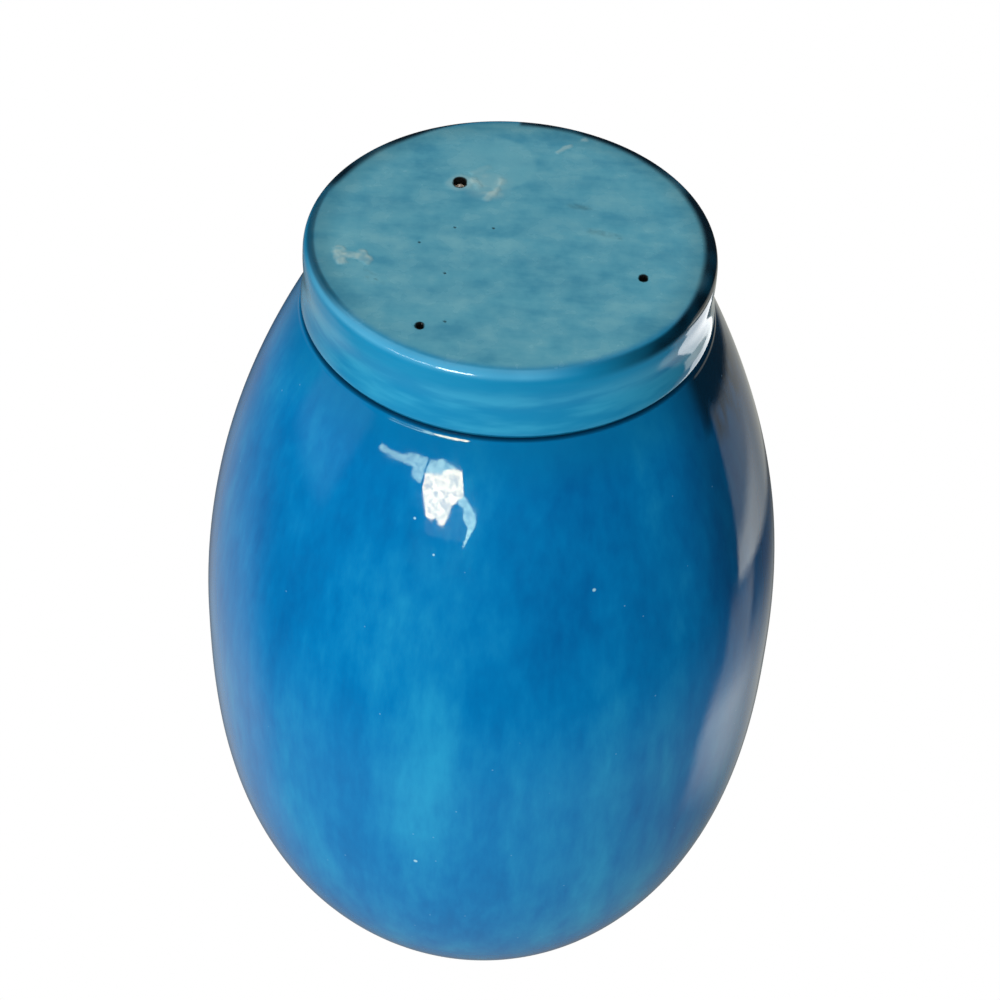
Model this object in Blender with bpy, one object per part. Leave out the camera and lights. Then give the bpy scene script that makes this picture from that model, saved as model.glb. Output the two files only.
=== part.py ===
"""Bud vase: an ovoid clay body on a turned disc foot, with a narrow neck, glazed inside and out.

Every piece is turned about Z from stretches of one path, the glazed surface. The path starts at the
middle of the underside, runs up the outside, over the lip and down the inside to the floor, so that
the clay always lies to its left.
"""

import math

import bmesh
import bpy
from mathutils import Vector

# Overall sizes, in metres
VASE_HEIGHT = 0.168
BELLY_RADIUS = 0.0504
BELLY_HEIGHT = 0.0809
FOOT_RADIUS = 0.033

# Disc foot
FOOT_HEIGHT = 0.013
FOOT_EDGE_RADIUS = 0.0023
FOOT_FLARE = 0.0004
GROOVE_DEPTH = 0.0005

# Body curve: how full it stays below and above the belly
LOWER_FULLNESS = 2.10
SHOULDER_FULLNESS = 2.66

# Neck and lip, with the lip's turns in degrees
NECK_HEIGHT = 0.0102
NECK_FILLET = 0.003
BORE_RADIUS = 0.0087
NECK_WALL = 0.003
LIP_OVERHANG = 0.0021
LIP_ROLL_RADIUS = 0.0019
LIP_UNDERCUT = 40
LIP_MOUTH_TURN = 60
MOUTH_DEPTH = 0.006

# Clay and glaze
WALL = 0.005
FLOOR = 0.005
FLOOR_CORNER = 0.009
GLAZE = 0.0006
GAP = 0.0003

# Marks that a three-point kiln stilt left on the underside
STILT_RADIUS = 0.0214
STILT_CENTRE = Vector((0.00035, -0.0058))
STILT_TURN = math.radians(66.5)
STILT_POINTS = 3
PIT_RADIUS = 0.00085
PIT_DEPTH = 0.0018
PIT_TIP_RADIUS = 0.00035
STILT_TIP_RADIUS = 0.00038
STILT_TIP_LENGTH = 0.001

# Fineness of the turned shapes
SEGMENTS = 32
BODY_STATIONS = 7
ARC_STATIONS = 3
PIT_SIDES = 12

# Sizes that follow from the ones above
SKIN = GLAZE + GAP
NECK_RADIUS = BORE_RADIUS + NECK_WALL + 2 * SKIN
LIP_RADIUS = NECK_RADIUS + LIP_OVERHANG
ROOT_RADIUS = NECK_RADIUS + NECK_FILLET
ROOT_HEIGHT = VASE_HEIGHT - NECK_HEIGHT
FOOT_TOP_RADIUS = FOOT_RADIUS + FOOT_FLARE
SHOULDER_CUT = (1 - (ROOT_RADIUS / BELLY_RADIUS) ** 2) ** (1 / SHOULDER_FULLNESS)
SHOULDER_RISE = (ROOT_HEIGHT - BELLY_HEIGHT) / SHOULDER_CUT
CAVITY_FLOOR = FOOT_HEIGHT + GAP / 2 + FLOOR + SKIN
SHELL = WALL + 2 * SKIN


# Path tools

def arc(centre, radius, start, end, count=ARC_STATIONS):
    """Points along a circle's arc in the profile's plane, both ends included."""
    points = []
    for i in range(count + 1):
        angle = math.radians(start + (end - start) * i / count)
        points.append(centre + radius * Vector((math.cos(angle), math.sin(angle))))
    return points


def bezier(p0, p1, p2, p3, count=ARC_STATIONS):
    """Points along a cubic curve, both ends included."""
    points = []
    for i in range(count + 1):
        t = i / count
        u = 1 - t
        points.append(u ** 3 * p0 + 3 * u * u * t * p1 + 3 * u * t * t * p2 + t ** 3 * p3)
    return points


def left_of(start, end):
    """Unit vector to the left of the way from start to end."""
    way = (end - start).normalized()
    return Vector((-way.y, way.x))


def offset(path, distance):
    """The path moved into the clay by a distance, with mitred corners."""
    moved = []
    last = len(path) - 1
    for i, point in enumerate(path):
        before = left_of(path[max(i - 1, 0)], path[max(i, 1)])
        after = left_of(path[min(i, last - 1)], path[min(i + 1, last)])
        mitre = (before + after).normalized()
        moved.append(point + mitre * (distance / mitre.dot(after)))
    return moved


def coat(path):
    """Closed outline of a glaze coat whose surface is the path."""
    return path + offset(path, GLAZE)[::-1]


# The glazed surface, stretch by stretch

def body_radius(height):
    """Outside radius of the body at a height."""
    if height < BELLY_HEIGHT:
        fall = (BELLY_HEIGHT - height) / (BELLY_HEIGHT - FOOT_HEIGHT)
        return BELLY_RADIUS - (BELLY_RADIUS - FOOT_TOP_RADIUS) * fall ** LOWER_FULLNESS
    rise = (height - BELLY_HEIGHT) / SHOULDER_RISE
    return BELLY_RADIUS * math.sqrt(1 - rise ** SHOULDER_FULLNESS)


def base_path():
    """Flat underside and its rounded edge."""
    flat = FOOT_RADIUS - FOOT_EDGE_RADIUS
    edge = arc(Vector((flat, FOOT_EDGE_RADIUS)), FOOT_EDGE_RADIUS, -90, 0)
    return [Vector((0, 0))] + edge + [Vector((FOOT_RADIUS, FOOT_EDGE_RADIUS + GAP))]


def foot_path():
    """Side of the foot, up to the groove under the body."""
    return [
        Vector((FOOT_RADIUS, FOOT_EDGE_RADIUS + 2 * GAP)),
        Vector((FOOT_TOP_RADIUS, FOOT_HEIGHT - GROOVE_DEPTH)),
        Vector((FOOT_TOP_RADIUS - GROOVE_DEPTH, FOOT_HEIGHT - GAP / 2)),
    ]


def body_path():
    """Outside of the body, from the groove to the root of the neck."""
    start = FOOT_HEIGHT + GROOVE_DEPTH
    heights = []
    for i in range(BODY_STATIONS):
        heights.append(start + (BELLY_HEIGHT - start) * i / BODY_STATIONS)
    for i in range(BODY_STATIONS + 1):
        heights.append(BELLY_HEIGHT + (ROOT_HEIGHT - BELLY_HEIGHT) * math.sin(math.pi / 2 * i / BODY_STATIONS))
    path = [Vector((body_radius(height), height)) for height in heights]
    groove = Vector((FOOT_TOP_RADIUS - GROOVE_DEPTH, FOOT_HEIGHT + GAP / 2))
    return [groove] + path


def neck_path():
    """Outside of the neck, the rolled lip, and the mouth down to the straight bore."""
    slope = body_path()
    rising = (slope[-1] - slope[-2]).normalized()
    root = slope[-1] + rising * GAP
    roll_centre = Vector((LIP_RADIUS - LIP_ROLL_RADIUS, VASE_HEIGHT - LIP_ROLL_RADIUS))
    roll = arc(roll_centre, LIP_ROLL_RADIUS, -LIP_UNDERCUT, 90)
    roll += arc(roll_centre, LIP_ROLL_RADIUS, 90, 90 + LIP_MOUTH_TURN)[1:]
    waist = Vector((NECK_RADIUS, (ROOT_HEIGHT + roll[0].y) / 2))
    reach = (waist.y - ROOT_HEIGHT) * 0.7
    up = Vector((0, reach))
    undercut = math.radians(LIP_UNDERCUT)
    under_lip = Vector((math.sin(undercut), math.cos(undercut))) * reach
    throat = Vector((BORE_RADIUS, VASE_HEIGHT - MOUTH_DEPTH))
    into_mouth = (roll[-1] - roll[-2]).normalized() * LIP_ROLL_RADIUS
    path = bezier(root, root + rising * NECK_FILLET * 0.6, waist - up, waist)
    path += bezier(waist, waist + up * 0.6, roll[0] - under_lip * 0.3, roll[0])[1:]
    path += roll[1:]
    path += bezier(roll[-1], roll[-1] + into_mouth, throat + up, throat)[1:]
    return path + [throat - Vector((0, GAP))]


def liner_path():
    """Inside of the bore and the body, down to the middle of the floor."""
    wall = offset(body_path()[1:], SHELL)
    low = [point for point in wall if point.y > CAVITY_FLOOR + FLOOR_CORNER]
    top = low[-1]
    rising = (top - low[-2]).normalized()
    bore_top = Vector((BORE_RADIUS, VASE_HEIGHT - MOUTH_DEPTH - 2 * GAP))
    bore_foot = Vector((BORE_RADIUS, ROOT_HEIGHT - SKIN))
    run = (top.x - BORE_RADIUS) * 0.6
    shoulder = bezier(bore_foot, bore_foot - Vector((0, run)), top + rising * run, top)
    corner = low[0]
    falling = (corner - low[1]).normalized()
    floor_edge = Vector((corner.x - FLOOR_CORNER, CAVITY_FLOOR))
    half = FLOOR_CORNER * 0.6
    bowl = bezier(corner, corner + falling * half, floor_edge + Vector((half, 0)), floor_edge)
    return [bore_top] + shoulder + low[-2:0:-1] + bowl + [Vector((0, CAVITY_FLOOR))]


# The clay pieces, as closed outlines or as outlines that end on the axis

def foot_outline():
    """Solid disc foot under the glaze."""
    side = offset(base_path() + foot_path()[1:], SKIN)
    top = FOOT_HEIGHT - GAP / 2
    return side + [Vector((side[-1].x - GAP, top)), Vector((0, top))]


def body_outline():
    """Body with its own floor, from the foot to the seat of the neck."""
    seat = FOOT_HEIGHT + GAP / 2
    outside = offset(body_path(), SKIN)
    edge = Vector((outside[0].x - GAP, seat))
    rim = outside[-1].y
    inside = [point for point in offset(liner_path(), SKIN) if point.y < rim - GAP]
    return [Vector((0, seat)), edge] + outside + [Vector((inside[0].x, rim))] + inside


def neck_outline():
    """Neck ring with its lip, seated on the body's rim."""
    seat = offset(body_path(), SKIN)[-1].y + GAP
    surface = offset(neck_path(), SKIN)
    ring = [point for point in surface if point.y > seat + GAP]
    foot = Vector((surface[0].x - GAP, seat))
    return [foot] + ring + [Vector((ring[-1].x, seat))]


# Materials and objects

def material(name, colour, roughness):
    made = bpy.data.materials.new(name)
    made.use_nodes = True
    shader = made.node_tree.nodes["Principled BSDF"]
    shader.inputs["Base Color"].default_value = (*colour, 1)
    shader.inputs["Roughness"].default_value = roughness
    shader.inputs["Metallic"].default_value = 0
    return made


def add_object(name, mesh_data, surface):
    made = bpy.data.objects.new(name, mesh_data)
    bpy.context.scene.collection.objects.link(made)
    if surface:
        mesh_data.materials.append(surface)
    return made


def finish_mesh(name, shape):
    """Turn a bmesh into a mesh that is shaded smooth, with its corners kept sharp."""
    bmesh.ops.recalc_face_normals(shape, faces=shape.faces)
    data = bpy.data.meshes.new(name)
    shape.to_mesh(data)
    shape.free()
    data.shade_smooth()
    data.set_sharp_from_angle(angle=math.radians(35))
    return data


def turned(name, outline, surface):
    """A solid of revolution about Z from an outline of (radius, height) points."""
    shape = bmesh.new()
    ring = [shape.verts.new((point.x, 0, point.y)) for point in outline]
    edges = [shape.edges.new(pair) for pair in zip(ring, ring[1:])]
    if outline[0].x > 0 or outline[-1].x > 0:
        edges.append(shape.edges.new((ring[-1], ring[0])))
    bmesh.ops.spin(shape, geom=ring + edges, cent=(0, 0, 0), axis=(0, 0, 1), angle=2 * math.pi,
                   steps=SEGMENTS, use_merge=True)
    bmesh.ops.remove_doubles(shape, verts=shape.verts, dist=1e-6)
    return add_object(name, finish_mesh(name, shape), surface)


def cone(name, radius_low, radius_high, low, high, surface=None):
    """An upright frustum whose ends stand at two heights above its origin."""
    shape = bmesh.new()
    bmesh.ops.create_cone(shape, cap_ends=True, segments=PIT_SIDES, radius1=radius_low, radius2=radius_high,
                          depth=high - low)
    bmesh.ops.translate(shape, verts=shape.verts, vec=(0, 0, (low + high) / 2))
    return add_object(name, finish_mesh(name, shape), surface)


def stilt_place(number):
    """Where one point of the stilt touched the underside."""
    angle = STILT_TURN + 2 * math.pi * number / STILT_POINTS
    place = STILT_CENTRE + STILT_RADIUS * Vector((math.cos(angle), math.sin(angle)))
    return Vector((place.x, place.y, 0))


def cut_pits(pieces):
    """Cut the pits that the stilt's points left, through each of the pieces."""
    slope = (PIT_RADIUS - PIT_TIP_RADIUS) / PIT_DEPTH
    below = PIT_RADIUS
    for number in range(STILT_POINTS):
        cutter = cone(f"pit_cutter_{number}", PIT_RADIUS + slope * below, PIT_TIP_RADIUS, -below, PIT_DEPTH)
        cutter.location = stilt_place(number)
        cutter.hide_render = True
        cutter.display_type = "WIRE"
        for piece in pieces:
            cut = piece.modifiers.new(f"pit_{number}", "BOOLEAN")
            cut.operation = "DIFFERENCE"
            cut.solver = "EXACT"
            cut.object = cutter


def build():
    for old in list(bpy.data.objects):
        bpy.data.objects.remove(old)

    clay = material("fired_clay", (0.62, 0.52, 0.40), 0.9)
    body_blue = material("cerulean_glaze", (0.0, 0.15, 0.44), 0.06)
    foot_blue = material("foot_glaze", (0.025, 0.24, 0.42), 0.08)
    base_blue = material("base_glaze", (0.08, 0.28, 0.40), 0.25)
    liner_blue = material("liner_glaze", (0.03, 0.22, 0.42), 0.1)
    fireclay = material("fireclay", (0.75, 0.68, 0.6), 0.9)

    foot = turned("foot_disc", foot_outline(), clay)
    turned("body_wall", body_outline(), clay)
    turned("neck_collar", neck_outline(), clay)
    base = turned("base_glaze", coat(base_path()), base_blue)
    turned("foot_glaze", coat(foot_path()), foot_blue)
    turned("body_glaze", coat(body_path()), body_blue)
    turned("neck_glaze", coat(neck_path()), body_blue)
    turned("liner_glaze", coat(liner_path()), liner_blue)

    cut_pits([foot, base])
    tip_end = PIT_DEPTH - GAP
    tip = cone("stilt_tip", STILT_TIP_RADIUS, STILT_TIP_RADIUS / 2, tip_end - STILT_TIP_LENGTH, tip_end, fireclay)
    tip.location = stilt_place(0)


build()
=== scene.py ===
"""Looks of the bud vase: fine glaze coats over the packed clay pieces, light, floor and camera.

Lengths are in metres. The vase stands upright on its foot, and the camera looks up at the underside
with its picture turned over, so the foot is at the top of the picture.
"""

import math

import bmesh
import bpy
import numpy as np
from mathutils import Matrix, Vector, noise


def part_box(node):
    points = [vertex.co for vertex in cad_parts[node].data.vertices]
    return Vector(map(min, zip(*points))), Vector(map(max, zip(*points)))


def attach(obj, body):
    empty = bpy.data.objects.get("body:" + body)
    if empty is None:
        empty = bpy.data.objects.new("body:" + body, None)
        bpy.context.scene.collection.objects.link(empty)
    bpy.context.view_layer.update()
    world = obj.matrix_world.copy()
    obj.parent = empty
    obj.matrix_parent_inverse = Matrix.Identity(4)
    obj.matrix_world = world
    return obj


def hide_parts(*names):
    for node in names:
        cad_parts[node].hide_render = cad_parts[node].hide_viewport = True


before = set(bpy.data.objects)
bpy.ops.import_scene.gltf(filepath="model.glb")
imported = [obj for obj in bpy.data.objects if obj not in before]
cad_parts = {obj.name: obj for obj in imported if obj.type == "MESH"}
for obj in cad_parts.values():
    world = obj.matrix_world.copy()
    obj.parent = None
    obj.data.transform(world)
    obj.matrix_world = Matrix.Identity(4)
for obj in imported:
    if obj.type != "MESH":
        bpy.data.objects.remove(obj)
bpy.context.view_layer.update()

# Sizes read from the frame
SEAM = 0.0003
FOOT_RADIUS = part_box("base_glaze")[1].x
FOOT_EDGE_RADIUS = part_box("base_glaze")[1].z - SEAM
FOOT_TOP_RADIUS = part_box("foot_glaze")[1].x
FOOT_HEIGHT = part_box("foot_glaze")[1].z + SEAM / 2
BELLY_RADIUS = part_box("body_glaze")[1].x
ROOT_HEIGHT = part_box("body_glaze")[1].z
ROOT_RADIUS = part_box("neck_glaze")[1].x + SEAM
VASE_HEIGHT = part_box("neck_glaze")[1].z
LINER_GLAZE = 0.0006
CAVITY_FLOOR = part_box("liner_glaze")[0].z + LINER_GLAZE
MOUTH_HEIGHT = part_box("liner_glaze")[1].z

# Curves of the profile
BELLY_HEIGHT = 0.4815 * VASE_HEIGHT
LOWER_FULLNESS = 2.10
SHOULDER_FULLNESS = 2.66
GROOVE_DEPTH = 0.0006
GROOVE_CORNER = 0.0006
EDGE_ROUND = 0.0003
BEAD_HEIGHT = 0.000065
BEAD_WIDTH = 0.00035
RIM_HEIGHT = 0.0031
RIM_SQUARENESS = 3.0
WAIST_DEPTH = 0.0003
ROOT_FILLET = 0.0018
NECK_RADIUS = 0.0135
BORE_RADIUS = 0.0087
BORE_DROP = 0.001
LIP_RADIUS = 0.0156
LIP_ROLL_RADIUS = 0.0019
LIP_UNDERCUT = -40
LIP_MOUTH_TURN = 150
FLOOR_CORNER = 0.009
WALL = 0.0068
GLAZE = 0.0005
SHOULDER_SHARE = (1 - (ROOT_RADIUS / BELLY_RADIUS) ** 2) ** (1 / SHOULDER_FULLNESS)
SHOULDER_RISE = (ROOT_HEIGHT - BELLY_HEIGHT) / SHOULDER_SHARE

# Marks of the three-point kiln stilt
STILT_CENTRE = Vector((0.00035, -0.0058))
STILT_RADIUS = 0.0214
STILT_TURN = math.radians(66.5)
PIT_RADII = (0.00130, 0.00085, 0.00080)
PIT_DEPTH = 0.0013
PIT_WALL = 0.0003

# Other marks on the underside: places, strokes between two points, and patches with their half sizes
CHIP_CENTRE = (0.0046, 0.0133)
CHIP_RADIUS = 0.0047
CHIP_RIDGES = (
    ((0.0020, 0.0149), (0.0028, 0.0124)),
    ((0.0043, 0.0101), (0.0033, 0.0117)),
    ((0.0067, 0.0147), (0.0058, 0.0129)),
    ((0.0068, 0.0169), (0.0044, 0.0182)),
)
THIN_PATCHES = (((0.0038, 0.0195), (0.0075, 0.0076)), ((0.0290, -0.0045), (0.0036, 0.0022)))
FLAW_LOBES = (((0.0268, -0.0056), (0.0264, -0.0084)), ((0.0231, -0.0061), (0.0223, -0.0079)))
FLAW_NECK = ((0.0265, -0.0068), (0.0228, -0.0068))
FLECKS = (((-0.0068, 0.0239), (-0.0088, 0.0257)), ((-0.0109, 0.0277), (-0.0112, 0.0277)))
PINHOLES = ((0.0145, -0.0025), (0.0091, 0.0019), (0.0029, 0.0023), (0.0100, -0.0099), (0.0093, -0.0216))
SMEARS = (((-0.0092, 0.0094), (-0.0120, 0.0089)), ((-0.0125, 0.0030), (-0.0170, 0.0018)))
DOTS = ((0.0222, -0.0112), (0.0198, -0.0132))

# Relief of those marks, and waves of the thrown surface with their pitch
FOLD_HEIGHT = 0.00006
CHIP_HEIGHT = 0.00004
HALO_HEIGHT = 0.00008
RIDGE_HEIGHT = 0.00013
FLAW_HEIGHT = 0.00015
FLECK_HEIGHT = 0.00008
PINHOLE_DEPTH = 0.0002
UNDERSIDE_WAVE = 0.00005
UNDERSIDE_PITCH = 0.009
THROWN_WAVE = 0.00014
THROWN_PITCH = 0.034
GLAZE_WAVE = 0.000012
GLAZE_PITCH = 0.009
CALM_RADIUS = 0.008
ROUGH_PITCH = 0.0011

# Painted shade on the body towards -X: turns from the front in degrees, and pitch and length of its
# streaks
SHADE_TURN = -71
DUSK_TURN = -82
SHADE_STREAK_PITCH = 0.0018
SHADE_STREAK_LENGTH = 0.007

# Fineness of the turned shapes, and the angle from which an edge is sharp
SEGMENTS = 288
BACK_STEP = 3
SHARP_ANGLE = math.radians(55)
ON_AXIS = 1e-9

# Colours of the glaze and the clay
BODY_DEEP = (0.000, 0.100, 0.310, 1)
BODY_BLUE = (0.000, 0.172, 0.432, 1)
BODY_LIGHT = (0.016, 0.310, 0.548, 1)
BODY_TEAL = (0.001, 0.150, 0.340, 1)
# Painted shade in the groove between the foot and the body
GROOVE_SHADE = (0.000, 0.036, 0.090, 1)
FOOT_BLUE = (0.010, 0.230, 0.445, 1)
FOOT_LIGHT = (0.030, 0.315, 0.520, 1)
RIM_BLUE = (0.004, 0.220, 0.425, 1)
# Painted highlight along the rim's edge on its lit front
RIM_HIGHLIGHT = (0.110, 0.460, 0.700, 1)
# Painted shade and dark reflection, round the rim and on the body towards -X
PAINTED_SHADE_DARK = (0.000, 0.012, 0.025, 1)
BASE_TEAL = (0.098, 0.372, 0.490, 1)
BASE_DEEP = (0.060, 0.292, 0.424, 1)
BASE_LIGHT = (0.152, 0.444, 0.538, 1)
PALE_CHIP = (0.480, 0.640, 0.600, 1)
# Painted shade in the stilt's pits, also the colour of the stains
PIT_SHADE_AND_STAIN = (0.006, 0.006, 0.005, 1)
SPECK = (0.250, 0.520, 0.680, 1)
# Painted glints on the body
GLINT_PALE = (0.340, 0.620, 0.740, 1)
CLAY_DARK = (0.50, 0.39, 0.28, 1)
CLAY_LIGHT = (0.68, 0.58, 0.45, 1)
FIRECLAY_DARK = (0.50, 0.40, 0.32, 1)
FIRECLAY_LIGHT = (0.80, 0.74, 0.66, 1)

# Places on the body: turn from the front and its spread in degrees, height and its spread, and lightness;
# partly glaze that lies thinner or thicker, partly painted light and shade, such as the deep places
# towards -X
BODY_GLAZE_AND_SHADE_PLACES = (
    (10, 0.084, 9, 0.014, 0.10),
    (40, 0.070, 14, 0.022, 0.07),
    (48, 0.042, 16, 0.022, -0.08),
    (14, 0.050, 12, 0.016, 0.03),
    (30, 0.023, 16, 0.012, -0.09),
    (-28, 0.034, 24, 0.020, -0.08),
    (-82, 0.045, 24, 0.035, -0.14),
    (-32, 0.080, 14, 0.020, 0.07),
    (-10, 0.104, 16, 0.018, 0.04),
    (-34, 0.112, 16, 0.016, 0.14),
    (-6, 0.124, 24, 0.012, 0.08),
)

# Painted glints on the body's glaze, each with its size
PAINTED_GLINTS = (
    ((0.0100, -0.0490, 0.0969), 0.00045),
    ((-0.0163, -0.0405, 0.0371), 0.00040),
    ((0.0123, -0.0377, 0.0264), 0.00030),
    ((0.0091, -0.0406, 0.0313), 0.00026),
)

# Camera of the photograph, with its lens and frame in millimetres
CAMERA_DISTANCE = 0.3981
CAMERA_ELEVATION = math.radians(-37.6)
CAMERA_AIM = Vector((-0.00076, 0, 0.05737))
CAMERA_ROLL = math.radians(-3.5)
CAMERA_LENS = 90
CAMERA_FRAME = 36

# Window that the body mirrors: light cards close to the vase, each an outline of places across and up.
# The sill and the branch lean over, so that upright views don't mirror them.
WINDOW_MIDDLE = Vector((0.0251, -0.0786, 0.0198))
WINDOW_TURN = 21.6
WINDOW_RISE = -3
WINDOW_LEAN = 62
SUN_WHITE = (1.00, 0.84, 0.50, 1)
SKY_WHITE = (0.70, 1.00, 0.78, 1)
WINDOW_SHADE = (
    (0.0105, -0.0085), (0.0035, -0.0100), (-0.0050, -0.0090),
    (-0.0020, -0.0085), (0.0040, -0.0060), (0.0115, -0.0050),
)
WINDOW_PANE = (
    (0.0115, -0.0050), (0.0040, -0.0060), (-0.0020, -0.0085), (-0.0075, -0.0085),
    (-0.0100, -0.0015), (-0.0050, 0.0015), (-0.0030, 0.0070), (-0.0010, 0.0075),
    (0.0015, 0.0055), (0.0035, 0.0065), (0.0065, 0.0060), (0.0110, -0.0010),
)
WINDOW_SILL = (
    (0.0460, -0.0040), (0.0460, -0.0075), (0.0315, -0.0090), (0.0250, -0.0150), (0.0145, -0.0165),
    (0.0120, 0.0035), (0.0180, 0.0010), (0.0205, -0.0055), (0.0430, -0.0030),
)
WINDOW_BRANCH = (
    (-0.0110, -0.0095), (-0.0170, 0.0005), (-0.0165, 0.0055), (-0.0095, 0.0200),
    (-0.0125, 0.0090), (-0.0105, 0.0055), (-0.0110, -0.0015), (-0.0080, -0.0040),
)
WINDOW_WALL = (
    (0.0070, 0.0065), (-0.0005, 0.0080), (-0.0035, 0.0072), (-0.0055, 0.0020),
    (-0.0105, 0.0015), (-0.0150, 0.0080), (-0.0120, 0.0105), (0.0050, 0.0105),
)

# Uneven light of the cards: features per metre along each axis
CARD_GRAIN = (420, 420, 750)

# Name, outline, colour, radiance, rise of the face and lift of each card
WINDOW_CARDS = (
    ("window_pane", WINDOW_PANE, SUN_WHITE, 28, WINDOW_RISE, 0.0),
    ("window_shade", WINDOW_SHADE, SKY_WHITE, 13, WINDOW_RISE, 0.0),
    ("window_sill", WINDOW_SILL, SKY_WHITE, 11, WINDOW_LEAN, -0.003),
    ("window_branch", WINDOW_BRANCH, SKY_WHITE, 15, WINDOW_LEAN, 0.002),
    ("window_wall", WINDOW_WALL, SKY_WHITE, 0.8, WINDOW_RISE, 0.0),
)

# Lamps: turn and rise in degrees, distance, width, height and radiance
WINDOW_LIGHT = (WINDOW_TURN, WINDOW_RISE, 1.0, 0.50, 0.30, 8)
TOP_PANEL = (150, 62, 1.2, 1.20, 1.20, 0.8)
LEFT_PANEL = (95, 12, 1.2, 1.00, 1.00, 0.5)
FOOT_CARD = (-135, 37, 1.2, 0.62, 0.26, 2.1)
RIM_WINDOW = (22.7, -7.4, 1.03, 0.32, 0.165, 26)
RIM_SILL = (46.4, -8.6, 1.13, 0.47, 0.06, 14)

# Room that the glaze mirrors: its tint, its levels, and patches as turns, rises and softness in degrees
ROOM_WHITE = (1.00, 0.99, 0.88, 1)
ROOM_RISES = (28, 52)
ROOM_LOW = 0.02
ROOM_HIGH = 0.20
ROOM_STREAK = ((-160, -101), (43, 50), 5)
STREAK_SPAN = (-142, -114, 0.35, 1.15)
ROOM_BETWEEN = ((-124, -105), (33, 41), 3)
BETWEEN_LEVEL = 0.38
ROOM_LEFT = ((100, 155), (24, 56), 12)
LEFT_LEVEL = 0.31
ROOM_VEIL = ((66, 95), (-6, 11), 3)
VEIL_SLOPE = -0.67
VEIL_LEVEL = 0.2

# Patch of the room at the right: slope and span of two slanting edges, span of the upright one, and its
# level, with what a brighter lobe adds
STEEP_EDGE = (0.35, -26.2, -24.4)
SLANTED_EDGE = (0.13, 16.6, 18.5)
UPRIGHT_EDGE = (-112.5, -109.5)
RIGHT_LEVEL = 0.42
LOBE_LEVEL = 0.95
LOBE_RISES = (26, 30)
LOBE_TURNS = (-145, -115)

# Light from all round: levels below and above, and what is left on the dim side and from the sky over it
LIGHT_BELOW = 1.00
LIGHT_ABOVE = 0.82
DIM_SIDE = 0.05
SKY_SHARE = 0.8

# Floor: half its side, its place under the vase, colours, where it turns plain white, and glow of its own
FLOOR_HALF = 10.0
FLOOR_DROP = 0.0004
FLOOR_DARK = (0.84, 0.84, 0.83, 1)
FLOOR_LIGHT = (0.88, 0.88, 0.87, 1)
FLOOR_FADE = (0.25, 0.9)
FLOOR_GLOW = 0.35


# Profile tools

def arc(centre, radius, start, end, count):
    angles = np.radians(np.linspace(start, end, count + 1))
    return np.array(centre) + radius * np.column_stack((np.cos(angles), np.sin(angles)))


def bezier(p0, p1, p2, p3, count):
    t = np.linspace(0, 1, count + 1)[:, None]
    p0, p1, p2, p3 = (np.array(p, float) for p in (p0, p1, p2, p3))
    return (1 - t) ** 3 * p0 + 3 * (1 - t) ** 2 * t * p1 + 3 * (1 - t) * t ** 2 * p2 + t ** 3 * p3


def line(start, end, count):
    t = np.linspace(0, 1, count + 1)[:, None]
    return np.array(start) * (1 - t) + np.array(end) * t


def chain(*stretches):
    """One path from stretches that share their end points."""
    return np.vstack([stretches[0]] + [stretch[1:] for stretch in stretches[1:]])


def inward(path, distance):
    """The path moved into the clay, which lies to its left."""
    way = np.gradient(path, axis=0)
    way /= np.linalg.norm(way, axis=1)[:, None]
    return path + distance * np.column_stack((-way[:, 1], way[:, 0]))


def body_radius(height):
    below = np.clip((BELLY_HEIGHT - height) / (BELLY_HEIGHT - FOOT_HEIGHT), 0, None)
    above = np.clip((height - BELLY_HEIGHT) / SHOULDER_RISE, 0, 1)
    lower = BELLY_RADIUS - (BELLY_RADIUS - FOOT_TOP_RADIUS) * below ** LOWER_FULLNESS
    upper = BELLY_RADIUS * np.sqrt(1 - above ** SHOULDER_FULLNESS)
    return np.where(height < BELLY_HEIGHT, lower, upper)


# Stretches of the glazed surface, from the middle of the underside to the floor inside

def rim(start, end, count):
    """Part of the rim's curve, a squarish quarter of an ellipse; angles in degrees."""
    angles = np.radians(np.linspace(start, end, count + 1))
    power = 2 / RIM_SQUARENESS
    out = FOOT_RADIUS - FOOT_EDGE_RADIUS * (1 - np.sin(angles) ** power)
    return np.column_stack((out, RIM_HEIGHT * (1 - np.cos(angles) ** power)))


def rim_seam():
    """Angle on the rim's curve where the base coat meets the foot coat."""
    return math.degrees(math.acos((1 - FOOT_EDGE_RADIUS / RIM_HEIGHT) ** (RIM_SQUARENESS / 2)))


def base_path():
    edge = rim(0, rim_seam(), 26)
    return chain(line((0, 0), edge[0], 88), edge)


def foot_path():
    groove = (FOOT_TOP_RADIUS - GROOVE_DEPTH, FOOT_HEIGHT)
    side_end = (FOOT_TOP_RADIUS, FOOT_HEIGHT - 2 * GROOVE_CORNER)
    edge = rim(rim_seam(), 90, 10)
    side = line(edge[-1], side_end, 24)
    side[:, 0] -= WAIST_DEPTH * np.sin(np.linspace(0, math.pi, len(side))) ** 2
    bend_height = FOOT_HEIGHT - GROOVE_CORNER
    bend = bezier(side_end, (FOOT_TOP_RADIUS, bend_height), (groove[0], bend_height), groove, 10)
    return chain(edge, side, bend)


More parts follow.
